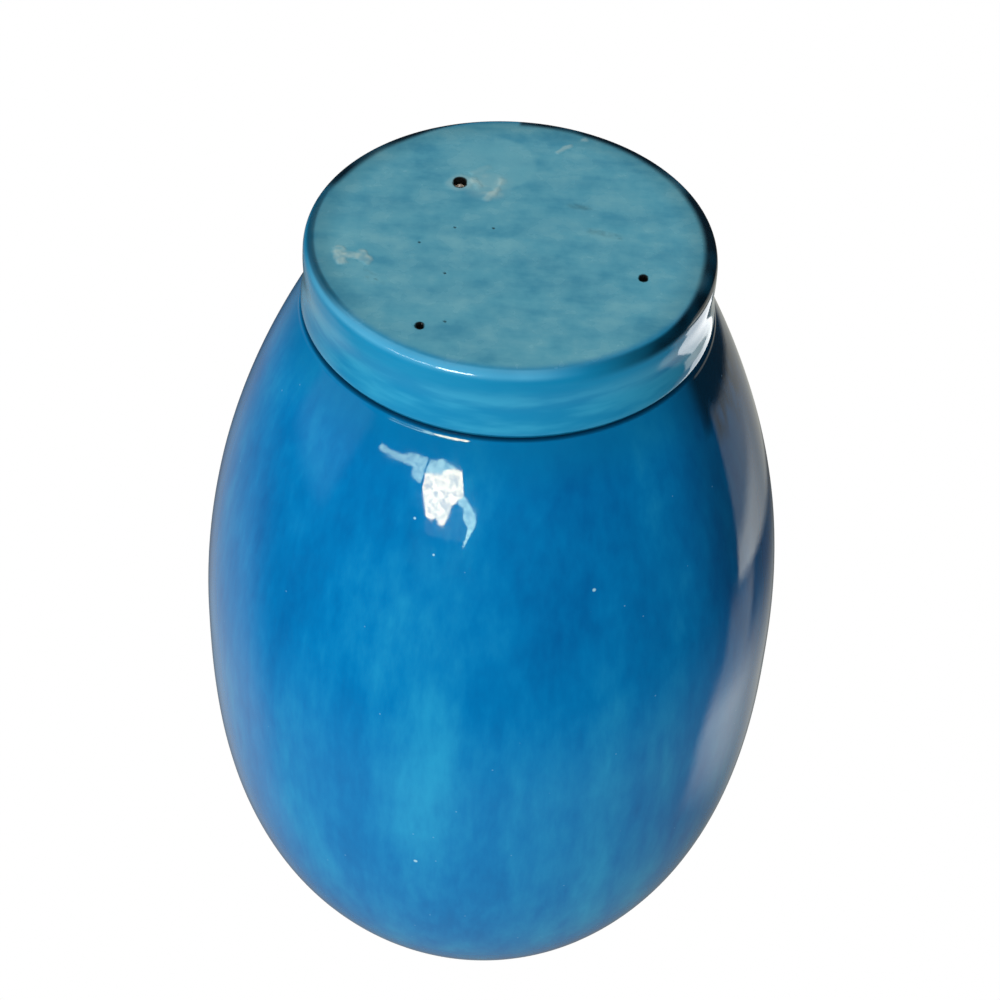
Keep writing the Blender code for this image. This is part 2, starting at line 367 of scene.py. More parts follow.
def body_path():
    groove = np.array((FOOT_TOP_RADIUS - GROOVE_DEPTH, FOOT_HEIGHT))
    bead_middle = FOOT_HEIGHT + EDGE_ROUND
    bead = np.linspace(bead_middle, bead_middle + 3 * BEAD_WIDTH, 30)
    low = np.linspace(bead[-1], BELLY_HEIGHT, 60)
    high = BELLY_HEIGHT + (ROOT_HEIGHT - BELLY_HEIGHT) * np.sin(np.linspace(0, math.pi / 2, 70))
    heights = np.concatenate((bead, low[1:], high[1:]))
    swell = BEAD_HEIGHT * np.exp(-((heights - bead_middle) / BEAD_WIDTH) ** 2)
    wall = np.column_stack((body_radius(heights) + swell, heights))
    falling = (wall[0] - wall[1]) / np.linalg.norm(wall[0] - wall[1])
    out = groove + (0.7 * EDGE_ROUND, 0)
    edge = bezier(groove, out, wall[0] + 0.6 * EDGE_ROUND * falling, wall[0], 14)
    return chain(edge, wall)


def neck_path():
    slope = body_path()
    rising = (slope[-1] - slope[-2]) / np.linalg.norm(slope[-1] - slope[-2])
    root = slope[-1]
    roll_centre = (LIP_RADIUS - LIP_ROLL_RADIUS, VASE_HEIGHT - LIP_ROLL_RADIUS)
    roll = arc(roll_centre, LIP_ROLL_RADIUS, LIP_UNDERCUT, LIP_MOUTH_TURN, 30)
    waist = np.array((NECK_RADIUS, (ROOT_HEIGHT + roll[0, 1]) / 2))
    reach = np.array((0, (waist[1] - ROOT_HEIGHT) * 0.7))
    under_lip = (roll[0] - roll[1]) / np.linalg.norm(roll[0] - roll[1]) * reach[1] * 0.5
    into_mouth = (roll[-1] - roll[-2]) / np.linalg.norm(roll[-1] - roll[-2]) * LIP_ROLL_RADIUS
    throat = np.array((BORE_RADIUS, MOUTH_HEIGHT))
    fillet = bezier(root, root + rising * ROOT_FILLET, waist - reach, waist, 14)
    undercut = bezier(waist, waist + reach * 0.6, roll[0] + under_lip, roll[0], 10)
    mouth = bezier(roll[-1], roll[-1] + into_mouth, throat + reach, throat, 14)
    return chain(fillet, undercut, roll, mouth)


def liner_path():
    heights = np.linspace(ROOT_HEIGHT - WALL * 1.6, CAVITY_FLOOR + FLOOR_CORNER, 60)
    wall = inward(np.column_stack((body_radius(heights), heights))[::-1], WALL)[::-1]
    bore_foot = np.array((BORE_RADIUS, ROOT_HEIGHT - BORE_DROP))
    run = (wall[0, 0] - BORE_RADIUS) * 0.6
    rising = (wall[0] - wall[1]) / np.linalg.norm(wall[0] - wall[1])
    bore = line((BORE_RADIUS, MOUTH_HEIGHT), bore_foot, 6)
    shoulder = bezier(bore_foot, bore_foot - (0, run), wall[0] + rising * run, wall[0], 16)
    floor_edge = np.array((wall[-1, 0] - FLOOR_CORNER, CAVITY_FLOOR))
    falling = (wall[-1] - wall[-2]) / np.linalg.norm(wall[-1] - wall[-2])
    half = FLOOR_CORNER * 0.6
    bowl = bezier(wall[-1], wall[-1] + falling * half, floor_edge + (half, 0), floor_edge, 12)
    return chain(bore, shoulder, wall, bowl, line(floor_edge, (0, CAVITY_FLOOR), 12))


# Meshes

def coat(path, step=BACK_STEP):
    """Closed outline of a glaze coat whose surface is the path, with a coarser back."""
    back = inward(path, GLAZE)
    kept = sorted(set(range(0, len(back), step)) | {len(back) - 1})
    back = back[kept]
    back[:, 0] = np.maximum(back[:, 0], 0)
    back[0, 0] *= path[0, 0] > 0
    back[-1, 0] *= path[-1, 0] > 0
    return np.vstack((path, back[::-1]))


def turned(outline, segments):
    """Points and faces of the shell that an outline of (radius, height) sweeps about Z."""
    angles = np.linspace(0, 2 * math.pi, segments, endpoint=False)
    points = []
    rows = []
    for radius, height in outline:
        first = len(points)
        if radius < ON_AXIS:
            points.append((0, 0, height))
            rows.append([first] * segments)
        else:
            points.extend((radius * math.cos(a), radius * math.sin(a), height) for a in angles)
            rows.append(list(range(first, first + segments)))
    if outline[0][0] > ON_AXIS:
        rows.append(rows[0])
    faces = []
    for low, high in zip(rows, rows[1:]):
        for k in range(segments):
            after = (k + 1) % segments
            corners = dict.fromkeys((low[k], low[after], high[after], high[k]))
            if len(corners) > 2:
                faces.append(tuple(corners))
    return points, faces


def add_piece(name, mesh, node, material):
    piece = bpy.data.objects.new(name, mesh)
    bpy.context.scene.collection.objects.link(piece)
    mesh.materials.append(material)
    mesh.shade_smooth()
    mesh.set_sharp_from_angle(angle=SHARP_ANGLE)
    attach(piece, "root")
    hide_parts(node)
    return piece


def new_mesh(name, points, faces):
    mesh = bpy.data.meshes.new(name)
    mesh.from_pydata(points, [], faces)
    return mesh


def get_points(mesh):
    flat = np.empty(len(mesh.vertices) * 3)
    mesh.vertices.foreach_get("co", flat)
    return flat.reshape(-1, 3)


def set_points(mesh, points):
    mesh.vertices.foreach_set("co", points.ravel())
    mesh.update()


def field(points, pitch, seed):
    """Smooth noise between about -1 and 1 at each point."""
    shift = Vector((seed, seed * 0.37, seed * 0.71))
    return np.array([noise.noise(Vector(p) / pitch + shift) for p in points])


def hand_made(points):
    """Push points in and out a little, as a thrown and glazed surface does."""
    radius = np.maximum(np.hypot(points[:, 0], points[:, 1]), 1e-6)
    push = THROWN_WAVE * field(points, THROWN_PITCH, 3) + GLAZE_WAVE * field(points, GLAZE_PITCH, 7)
    moved = points.copy()
    moved[:, :2] *= (1 + push / radius * np.clip(radius / CALM_RADIUS, 0, 1))[:, None]
    return moved


def shell(name, path):
    mesh = new_mesh(name, *turned(coat(path), SEGMENTS))
    set_points(mesh, hand_made(get_points(mesh)))
    return mesh


# Relief and stains of the underside, with painted highlight and shade, as masks over the points

def fade(distance, full, none):
    """1 closer than full, 0 beyond none, smooth between."""
    t = np.clip((none - distance) / (none - full), 0, 1)
    return t * t * (3 - 2 * t)


def reach_to(points, start, end):
    """Distance of each point to a stroke on the underside."""
    start = np.array(start)
    along = np.array(end) - start
    rel = points[:, :2] - start
    share = np.clip(rel @ along / max(along @ along, 1e-12), 0, 1)
    return np.linalg.norm(rel - share[:, None] * along, axis=1)


def stilt_place(number):
    angle = STILT_TURN + 2 * math.pi * number / 3
    return STILT_CENTRE + STILT_RADIUS * Vector((math.cos(angle), math.sin(angle)))


def pit_depth(points, wall=0.0):
    """Depth of the stilt's pits, and how far each point is inside one, for the painted shade in the pits.
    """
    depth = np.zeros(len(points))
    inside = np.zeros(len(points))
    rough = field(points, ROUGH_PITCH, 5)
    for number, size in enumerate(PIT_RADII):
        radius = size + wall
        away = reach_to(points, stilt_place(number), stilt_place(number)) * (1 + 0.15 * rough)
        depth += PIT_DEPTH * fade(away, 0.45 * radius, radius)
        # Painted shade in the pit, stretched along Y
        edge = Vector((0, 0.3 * radius))
        shaded = reach_to(points, stilt_place(number) - edge, stilt_place(number) + edge)
        inside += fade(shaded, 0.75 * radius, 1.02 * radius)
    return depth, inside


def chip_marks(points, rough):
    """Uneven ridges of pale glaze beside the first pit: depth and paleness."""
    away = reach_to(points, CHIP_CENTRE, CHIP_CENTRE) * (1 + 0.25 * field(points, 0.004, 9))
    inside = fade(away, 0.4 * CHIP_RADIUS, CHIP_RADIUS)
    curl = 0.35 * away + 0.0026 * field(points, 0.0042, 21) + 0.0004 * rough
    patchy = np.clip(0.4 + 1.2 * field(points, 0.0022, 25), 0, 1)
    fold = np.clip(np.sin(curl / 0.00036), 0, 1) * inside * patchy
    halo = fade(reach_to(points, stilt_place(0), stilt_place(0)) + 0.0005 * rough, 0.0014, 0.0026)
    pale = 0.16 * inside + 0.42 * fold + 0.24 * halo
    depth = -FOLD_HEIGHT * fold - CHIP_HEIGHT * inside - HALO_HEIGHT * halo
    for number, ridge in enumerate(CHIP_RIDGES):
        warped = reach_to(points, *ridge) + 0.0005 * rough + 0.0005 * field(points, 0.0024, 29)
        mark = fade(warped, -0.0001, 0.0009)
        depth -= RIDGE_HEIGHT * mark
        pale += (0.30 if number < 2 else 0.12) * mark
    return depth, pale


def flaw_marks(points, rough):
    """Pale two-lobed flaw near the edge, and the flecks: depth and paleness."""
    lobes = np.minimum(*(reach_to(points, *lobe) for lobe in FLAW_LOBES)) - 0.0004
    away = np.minimum(lobes, reach_to(points, *FLAW_NECK) - 0.0002) + 0.0006 * rough
    mark = fade(away, 0.0000, 0.0009)
    depth = -FLAW_HEIGHT * mark
    pale = mark * (0.50 + 0.5 * field(points, 0.0009, 23))
    for fleck in FLECKS:
        mark = fade(reach_to(points, *fleck) + 0.0005 * rough, 0.0000, 0.0007)
        depth -= FLECK_HEIGHT * mark
        pale += 0.4 * mark
    return depth, pale


def stains(points):
    """Depth of the pinholes, and darkness of the pinholes, two smears and a row of small dots."""
    depth = np.zeros(len(points))
    smear = np.minimum(*(reach_to(points, *stroke) for stroke in SMEARS))
    dark = 0.30 * fade(smear, 0.0002, 0.0010) * np.clip(0.6 + field(points, 0.0007, 27), 0, 1)
    dots = np.clip(3 * field(points, 0.0007, 31) - 0.4, 0, 1)
    dark += 0.35 * fade(reach_to(points, *DOTS), 0.0003, 0.0012) * dots
    for hole in PINHOLES:
        mark = fade(reach_to(points, hole, hole), 0.0001, 0.00032)
        depth += PINHOLE_DEPTH * mark
        dark += 0.8 * mark
    return depth, dark


def thin_glaze(points):
    """Where the glaze lies thinner beside the chip and the flaw, with a clear edge towards -X."""
    thin = np.zeros(len(points))
    for middle, size in THIN_PATCHES:
        rel = (points[:, :2] - middle) / size
        away = np.linalg.norm(rel, axis=1) + 0.05 * field(points, 0.005, 33)
        edge = np.where(rel[:, 0] < 0, 0.10, 0.45)
        thin += fade(away, 1 - edge, 1 + edge * 0.3)
    return thin


def turn_of(points):
    """Turn of each point from the front, in degrees: 90 is +X and -90 is -X."""
    return np.degrees(np.arctan2(points[:, 0], -points[:, 1]))


def paint(mesh, name, values):
    layer = mesh.attributes.new(name, "FLOAT", "POINT")
    layer.data.foreach_set("value", values.astype(np.float32))


def paint_rim(mesh, points):
    """Paint where the side's blue begins, a painted highlight along the rim on its lit front, and painted
    shade and dark reflection round the rim towards -X, at the back and in a ring inside it.

    Insets are from the foot's edge in metres, and turns from the front in degrees.
    """
    inset = FOOT_RADIUS - np.hypot(points[:, 0], points[:, 1])
    turn = turn_of(points)
    uneven = np.clip(1.0 + 0.4 * field(points, 0.006, 35), 0, 1)
    front = fade(abs(turn - 30), 35, 55)
    right = fade(turn, -52, -16)
    back = fade(-turn, -118, -80)
    # Painted highlight along the rim's edge, on the lit front only
    rim_highlight = fade(abs(inset - 0.0006), 0.0003, 0.0007) * fade(points[:, 2], 0.0010, 0.0020) * front
    # Painted shade and dark reflection along the rim, towards -X and at the back
    width = 0.0009 + 0.0014 * np.maximum(fade(turn, -80, -45), fade(abs(turn - 130), 10, 45))
    shaded_edge = fade(inset, 0.7 * width, 1.4 * width) * fade(points[:, 2], 0.0016, 0.0034)
    shaded_edge *= np.maximum(right, back)
    # Painted shade and dark reflection: a ring inside the rim towards +X, and fainter further in at the
    # sides and back
    ring = fade(abs(inset - 0.0012), 0.0003, 0.0010) * fade(abs(turn - 92), 28, 52)
    wide = fade(inset, 0.0015, 0.0070) * fade(-abs(turn), -75, -25)
    paint(mesh, "side", fade(inset, 0.0007, 0.0024))
    paint(mesh, "rim_highlight", 0.6 * rim_highlight * uneven)
    paint(mesh, "painted_shade", np.maximum(shaded_edge * uneven, np.maximum(0.7 * ring, 0.24 * wide)))


def refine(mesh):
    """Split the faces near the marks, for crisp relief there."""
    shape = bmesh.new()
    shape.from_mesh(mesh)
    faces = [face for face in shape.faces if face.calc_center_median().z < 1.2 * GLAZE]
    middles = np.array([face.calc_center_median() for face in faces])
    away = reach_to(middles, CHIP_CENTRE, CHIP_CENTRE) - CHIP_RADIUS
    strokes = [(stilt_place(number), stilt_place(number)) for number in range(3)]
    strokes += list(FLAW_LOBES) + [FLAW_NECK] + list(FLECKS) + [(hole, hole) for hole in PINHOLES]
    for stroke in strokes:
        away = np.minimum(away, reach_to(middles, *stroke) - 0.0018)
    marked = set()
    for face, distance in zip(faces, away):
        if distance < 0:
            marked.update(face.edges)
    bmesh.ops.subdivide_edges(shape, edges=list(marked), cuts=2, use_grid_fill=True)
    shape.to_mesh(mesh)
    shape.free()


def base_shell(name):
    mesh = new_mesh(name, *turned(coat(base_path(), 1), SEGMENTS))
    refine(mesh)
    flat = get_points(mesh)
    back = flat[:, 2] > 0.9 * GLAZE
    under = fade(flat[:, 2], 0.0001, 0.0004)
    rough = field(flat, ROUGH_PITCH, 5)
    pits, inside = pit_depth(flat)
    chip, chip_pale = chip_marks(flat, rough)
    flaw, flaw_pale = flaw_marks(flat, rough)
    holes, stained = stains(flat)
    points = hand_made(flat)
    wave = UNDERSIDE_WAVE * field(flat, UNDERSIDE_PITCH, 17)
    points[:, 2] += under * (pits + chip + flaw + holes + wave)
    points[:, 2] += (back & (flat[:, 2] < 1.1 * GLAZE)) * pit_depth(flat, PIT_WALL)[0]
    set_points(mesh, points)
    paint(mesh, "pale", under * np.clip(chip_pale + flaw_pale, 0, 1))
    # Painted shade in the pits, together with the stains
    paint(mesh, "dark", under * np.clip(inside + stained, 0, 1))
    paint(mesh, "thin", under * thin_glaze(flat))
    paint_rim(mesh, flat)
    return mesh


def foot_shell(name):
    mesh = shell(name, foot_path())
    paint_rim(mesh, get_points(mesh))
    return mesh


def body_shell(name):
    mesh = shell(name, body_path())
    paint(mesh, "tone", body_glaze_and_shade_tone(get_points(mesh)))
    # Painted shade on the body towards -X
    paint(mesh, "painted_shade", body_painted_shade(get_points(mesh)))
    return mesh


def body_painted_shade(points):
    """Painted shade towards -X: dark streaks beside the groove, and a fainter painted shade above them.
    """
    turn = turn_of(points)
    rise = points[:, 2] - FOOT_HEIGHT + SHADE_STREAK_LENGTH * field(points * (1, 1, 0.15), SHADE_STREAK_PITCH, 37)
    beside = np.where(turn > SHADE_TURN, fade(turn - SHADE_TURN, 8, 17), fade(SHADE_TURN - turn, 8, 50))
    painted_shade = 0.9 * fade(rise, 0.005, 0.019) * beside
    dusk = 0.4 * fade(abs(turn - DUSK_TURN), 20, 38) * fade(rise, 0.028, 0.056)
    return np.maximum(painted_shade, dusk)


def body_glaze_and_shade_tone(points):
    """Lighter and deeper places on the body: partly glaze that lies thinner or thicker, partly painted
    light and shade.
    """
    turn = turn_of(points)
    tone = np.zeros(len(points))
    for middle, height, width, tall, amount in BODY_GLAZE_AND_SHADE_PLACES:
        across = ((turn - middle + 180) % 360 - 180) / width
        along = (points[:, 2] - height) / tall
        tone += amount * np.exp(-across ** 2 - along ** 2)
    return tone


def grain(name):
    """Rough grain of fireclay that stayed in the first pit."""
    low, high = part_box("stilt_tip")
    shape = bmesh.new()
    bmesh.ops.create_icosphere(shape, subdivisions=4, radius=1)
    mesh = bpy.data.meshes.new(name)
    shape.to_mesh(mesh)
    shape.free()
    points = get_points(mesh)
    points *= (1 + 0.35 * field(points, 0.9, 2))[:, None]
    points = points / abs(points).max(axis=0) * np.array((high - low) / 2) + np.array((high + low) / 2)
    set_points(mesh, points)
    return mesh


# Node materials

def plug(tree, socket, value):
    if isinstance(value, bpy.types.NodeSocket):
        tree.links.new(value, socket)
    else:
        socket.default_value = value


def add_node(tree, kind, inputs=None, **settings):
    made = tree.nodes.new(kind)
    for key, value in settings.items():
        setattr(made, key, value)
    for key, value in (inputs or {}).items():
        plug(tree, made.inputs[key], value)
    return made


def calc(tree, operation, a, b=0.0, c=0.0):
    return add_node(tree, "ShaderNodeMath", {0: a, 1: b, 2: c}, operation=operation).outputs[0]


def span(tree, value, low, high, start=0.0, end=1.0):
    """Value stretched from low..high to start..end, smooth and clamped."""
    inputs = {"Value": value, "From Min": low, "From Max": high, "To Min": start, "To Max": end}
    return add_node(tree, "ShaderNodeMapRange", inputs, interpolation_type="SMOOTHSTEP").outputs["Result"]


def blend(tree, share, first, second, mode="MIX"):
    made = add_node(tree, "ShaderNodeMix", data_type="RGBA", blend_type=mode)
    plug(tree, made.inputs["Factor"], share)
    plug(tree, [s for s in made.inputs if s.name == "A" and s.type == "RGBA"][0], first)
    plug(tree, [s for s in made.inputs if s.name == "B" and s.type == "RGBA"][0], second)
    return [s for s in made.outputs if s.type == "RGBA"][0]


def where(tree):
    return add_node(tree, "ShaderNodeTexCoord").outputs["Object"]


def stretched(tree, x, y, z):
    inputs = {"Vector": where(tree), "Scale": (x, y, z)}
    return add_node(tree, "ShaderNodeMapping", inputs).outputs["Vector"]


def clouds(tree, x, y, z, detail=3.0, roughness=0.5):
    """Noise with a number of features per metre along each axis."""
    inputs = {"Vector": stretched(tree, x, y, z), "Scale": 1.0, "Detail": detail, "Roughness": roughness}
    return add_node(tree, "ShaderNodeTexNoise", inputs).outputs["Fac"]


def specks(tree, pitch, size, share):
    """Small round dots, one in some cells of a lattice."""
    cell = add_node(tree, "ShaderNodeTexVoronoi", {"Vector": where(tree), "Scale": 1 / pitch})
    dot = span(tree, cell.outputs["Distance"], size * 0.5, size, 1.0, 0.0)
    drawn = add_node(tree, "ShaderNodeSeparateColor", {"Color": cell.outputs["Color"]}).outputs[0]
    return calc(tree, "MULTIPLY", dot, calc(tree, "LESS_THAN", drawn, share))


def near(tree, place, reach):
    """1 at a place in the frame, 0 beyond its reach."""
    away = add_node(tree, "ShaderNodeVectorMath", {0: where(tree), 1: place}, operation="DISTANCE")
    return span(tree, away.outputs["Value"], reach * 0.4, reach, 1.0, 0.0)


def height_of(tree):
    return add_node(tree, "ShaderNodeSeparateXYZ", {"Vector": where(tree)}).outputs["Z"]


def painted(tree, name):
    return add_node(tree, "ShaderNodeAttribute", attribute_name=name).outputs["Fac"]


def surface(name):
    """A material with a Principled shader, and its node tree and shader."""
    made = bpy.data.materials.new(name)
    made.use_nodes = True
    return made, made.node_tree, made.node_tree.nodes["Principled BSDF"]


def ripple(tree, shader, height, distance):
    bump = add_node(tree, "ShaderNodeBump", {"Height": height, "Distance": distance, "Strength": 1.0})
    tree.links.new(bump.outputs["Normal"], shader.inputs["Normal"])


def body_glaze():
    made, tree, shader = surface("cerulean_glaze")
    streaks = clouds(tree, 110, 110, 16, 5.0, 0.6)
    patches = clouds(tree, 32, 32, 22, 3.0, 0.5)
    brushed = clouds(tree, 420, 420, 150, 3.0, 0.6)
    tone = calc(tree, "ADD", calc(tree, "MULTIPLY", streaks, 0.38), calc(tree, "MULTIPLY", patches, 0.44))
    tone = calc(tree, "ADD", tone, calc(tree, "MULTIPLY", brushed, 0.18))
    # Lightness painted on the body: glaze variation with painted light and shade
    tone = calc(tree, "ADD", tone, painted(tree, "tone"))
    colour = blend(tree, span(tree, tone, 0.29, 0.54), BODY_DEEP, BODY_BLUE)
    colour = blend(tree, span(tree, tone, 0.47, 0.76), colour, BODY_LIGHT)
    height = height_of(tree)
    low = span(tree, height, FOOT_HEIGHT, FOOT_HEIGHT + 0.010, 0.7, 0.0)
    colour = blend(tree, low, colour, BODY_TEAL)
    # Painted shade towards -X, beside the groove and above it
    colour = blend(tree, painted(tree, "painted_shade"), colour, PAINTED_SHADE_DARK)
    # Painted shade in the groove under the foot
    groove = span(tree, height, FOOT_HEIGHT, FOOT_HEIGHT + 0.0003, 0.95, 0.0)
    colour = blend(tree, groove, colour, GROOVE_SHADE)
    colour = blend(tree, calc(tree, "MULTIPLY", specks(tree, 0.0032, 0.06, 0.35), 0.35), colour, SPECK)
    # Painted glints on the body
    for place, size in PAINTED_GLINTS:
        colour = blend(tree, near(tree, place, size), colour, GLINT_PALE)
    plug(tree, shader.inputs["Base Color"], colour)
    plug(tree, shader.inputs["Roughness"], span(tree, clouds(tree, 300, 300, 300), 0.3, 0.7, 0.03, 0.07))
    ripple(tree, shader, clouds(tree, 420, 420, 420, 2.0), 0.00001)
    return made


def foot_colour(tree):
    """Colour of the foot all over: greyed and mottled below, blue round the rim and on the side."""
    brush = clouds(tree, 55, 210, 60, 4.0, 0.6)
    cloud = clouds(tree, 160, 160, 160, 4.0, 0.6)
    tone = calc(tree, "ADD", calc(tree, "MULTIPLY", brush, 0.45), calc(tree, "MULTIPLY", cloud, 0.55))
    under = blend(tree, span(tree, tone, 0.36, 0.52), BASE_DEEP, BASE_TEAL)
    under = blend(tree, span(tree, tone, 0.48, 0.66), under, BASE_LIGHT)
    under = blend(tree, calc(tree, "MULTIPLY", painted(tree, "thin"), 0.55), under, BASE_LIGHT)
    streaks = clouds(tree, 60, 60, 300, 3.0, 0.55)
    side = blend(tree, span(tree, streaks, 0.36, 0.64), FOOT_BLUE, FOOT_LIGHT)
    height = height_of(tree)
    side = blend(tree, span(tree, height, 0.0030, 0.0062, 0.8, 0.0), side, RIM_BLUE)
    # Painted shade on the foot's side where it meets the groove
    groove = span(tree, height, FOOT_HEIGHT - 0.0005, FOOT_HEIGHT, 0.0, 0.95)
    side = blend(tree, groove, side, GROOVE_SHADE)
    colour = blend(tree, painted(tree, "side"), under, side)
    # Painted highlight on the rim's lit front
    colour = blend(tree, painted(tree, "rim_highlight"), colour, RIM_HIGHLIGHT)
    # Painted shade and dark reflection round the rim
    colour = blend(tree, painted(tree, "painted_shade"), colour, PAINTED_SHADE_DARK)
    colour = blend(tree, painted(tree, "pale"), colour, PALE_CHIP)
    # Painted shade in the pits, together with the stains
    return blend(tree, painted(tree, "dark"), colour, PIT_SHADE_AND_STAIN)


def foot_glaze():
    made, tree, shader = surface("foot_glaze")
    plug(tree, shader.inputs["Base Color"], foot_colour(tree))
    plug(tree, shader.inputs["Roughness"], span(tree, clouds(tree, 300, 300, 300), 0.3, 0.7, 0.04, 0.10))
    ripple(tree, shader, clouds(tree, 420, 420, 420, 2.0), 0.00001)
    return made


def base_glaze():
    made, tree, shader = surface("base_glaze")
    plug(tree, shader.inputs["Base Color"], foot_colour(tree))
    flat = span(tree, clouds(tree, 160, 160, 160, 3.0), 0.3, 0.7, 0.16, 0.32)
    rounded = span(tree, height_of(tree), 0.0001, 0.0008)
    roughness = calc(tree, "MULTIPLY_ADD", calc(tree, "SUBTRACT", 0.10, flat), rounded, flat)
    plug(tree, shader.inputs["Roughness"], roughness)
    ripple(tree, shader, clouds(tree, 380, 380, 380, 3.0), 0.00003)
    return made


def liner_glaze():
    made, tree, shader = surface("liner_glaze")
    tone = clouds(tree, 60, 60, 20, 3.0, 0.55)
    colour = blend(tree, span(tree, tone, 0.35, 0.65), FOOT_BLUE, FOOT_LIGHT)
    plug(tree, shader.inputs["Base Color"], colour)
    plug(tree, shader.inputs["Roughness"], span(tree, tone, 0.3, 0.7, 0.06, 0.14))
    return made


def clay(name, dark, light):
    made, tree, shader = surface(name)
    tone = clouds(tree, 900, 900, 900, 4.0, 0.6)
    plug(tree, shader.inputs["Base Color"], blend(tree, span(tree, tone, 0.3, 0.7), dark, light))
    plug(tree, shader.inputs["Roughness"], span(tree, tone, 0.3, 0.7, 0.8, 0.95))
    ripple(tree, shader, tone, 0.00005)
    return made


# The pieces

def build_vase():
    body_blue = body_glaze()
    base = add_piece("base_coat", base_shell("base_coat"), "base_glaze", base_glaze())
    foot = add_piece("foot_coat", foot_shell("foot_coat"), "foot_glaze", foot_glaze())
    body = add_piece("body_coat", body_shell("body_coat"), "body_glaze", body_blue)
    add_piece("neck_coat", shell("neck_coat", neck_path()), "neck_glaze", body_blue)
    liner = shell("liner_coat", liner_path())
    add_piece("liner_coat", liner, "liner_glaze", liner_glaze())
    fireclay = clay("fireclay", FIRECLAY_DARK, FIRECLAY_LIGHT)
    add_piece("stilt_grain", grain("stilt_grain"), "stilt_tip", fireclay)
    fired = clay("fired_clay", CLAY_DARK, CLAY_LIGHT)
    for node in ("foot_disc", "body_wall", "neck_collar"):
        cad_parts[node].data.materials.clear()
        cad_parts[node].data.materials.append(fired)
    return base, foot, body


# Stage, light and camera

def toward(azimuth, elevation):
    """Unit vector to a place round the vase: azimuth 0 is -Y, the front, and 90 is +X."""
    a = math.radians(azimuth)
    e = math.radians(elevation)
    return Vector((math.sin(a) * math.cos(e), -math.cos(a) * math.cos(e), math.sin(e)))


def add_lamp(name, row, mirrored=False):
    """A soft rectangular lamp whose face has a radiance, turned to the middle of the vase."""
    azimuth, elevation, distance, width, height, radiance = row
    data = bpy.data.lights.new(name, "AREA")
    data.shape = "RECTANGLE"
    data.size = width
    data.size_y = height
    data.energy = radiance * width * height * math.pi
    lamp = bpy.data.objects.new(name, data)
    bpy.context.scene.collection.objects.link(lamp)
    aim = Vector((0, 0, VASE_HEIGHT / 2))
    lamp.location = aim + distance * toward(azimuth, elevation)
    lamp.rotation_euler = (lamp.location - aim).to_track_quat("Z", "Y").to_euler()
    lamp.visible_glossy = mirrored
    return lamp


def mirror_only_on(light, *pieces):
    """Let a light show in the gloss of some pieces and do nothing else."""
    light.visible_diffuse = False
    light.light_linking.receiver_collection = bpy.data.collections.new(light.name + "_mirrors")
    for piece in pieces:
        light.light_linking.receiver_collection.objects.link(piece)


def add_lamps(base, foot):
    add_lamp("window_light", WINDOW_LIGHT)
    add_lamp("top_panel", TOP_PANEL)
    add_lamp("left_panel", LEFT_PANEL)
    mirror_only_on(add_lamp("foot_card", FOOT_CARD, True), foot)
    mirror_only_on(add_lamp("rim_window", RIM_WINDOW, True), base, foot)
    mirror_only_on(add_lamp("rim_sill", RIM_SILL, True), base, foot)


def add_window(body, name, outline, colour, radiance, rise, lift):
    """A light card in front of the vase, bright towards it, that only the body's gloss mirrors."""
    across = toward(WINDOW_TURN + 90, 0)
    up = toward(WINDOW_TURN, rise + 90)
    middle = WINDOW_MIDDLE + Vector((0, 0, lift))
    points = [middle + u * across + v * up for u, v in outline]
    mesh = new_mesh(name, points, [range(len(points))])
    if mesh.polygons[0].normal.dot(toward(WINDOW_TURN, rise)) > 0:
        mesh.flip_normals()
    made, tree, _ = surface(name)
    tone = span(tree, clouds(tree, *CARD_GRAIN, 3.0, 0.6), 0.35, 0.60, 0.5 * radiance, radiance)
    behind = add_node(tree, "ShaderNodeNewGeometry").outputs["Backfacing"]
    tone = calc(tree, "MULTIPLY", tone, calc(tree, "SUBTRACT", 1.0, behind))
    light = add_node(tree, "ShaderNodeEmission", {"Color": colour, "Strength": tone}).outputs[0]
    plug(tree, tree.nodes["Material Output"].inputs["Surface"], light)
    mesh.materials.append(made)
    card = bpy.data.objects.new(name, mesh)
    bpy.context.scene.collection.objects.link(card)
    card.visible_camera = False
    card.visible_transmission = False
    card.visible_shadow = False
    mirror_only_on(card, body)


def patch(tree, turn, rise, sides, heights, soft):
    """1 between two turns and between two rises, all in degrees, with a soft edge."""
    share = 1.0
    for value, (low, high) in ((turn, sides), (rise, heights)):
        share = calc(tree, "MULTIPLY", share, span(tree, value, low - soft, low + soft))
        share = calc(tree, "MULTIPLY", share, span(tree, value, high - soft, high + soft, 1.0, 0.0))
    return share


def right_patch(tree, turn, rise):
    """Level of the pale patch at the right, between slanting edges and brighter in its upper lobe."""
    slope, low, high = SLANTED_EDGE
    slanted = calc(tree, "MULTIPLY_ADD", turn, slope, rise)
    below = span(tree, slanted, low, high, 1.0, 0.0)
    slope, low, high = STEEP_EDGE
    steep = calc(tree, "MULTIPLY_ADD", turn, slope, rise)
    shape = calc(tree, "MULTIPLY", span(tree, steep, low, high), below)
    shape = calc(tree, "MULTIPLY", shape, span(tree, turn, *UPRIGHT_EDGE, 1.0, 0.0))
    lobe = calc(tree, "MULTIPLY", span(tree, rise, *LOBE_RISES), span(tree, turn, *LOBE_TURNS))
    return calc(tree, "MULTIPLY", shape, calc(tree, "MULTIPLY_ADD", lobe, LOBE_LEVEL, RIGHT_LEVEL))


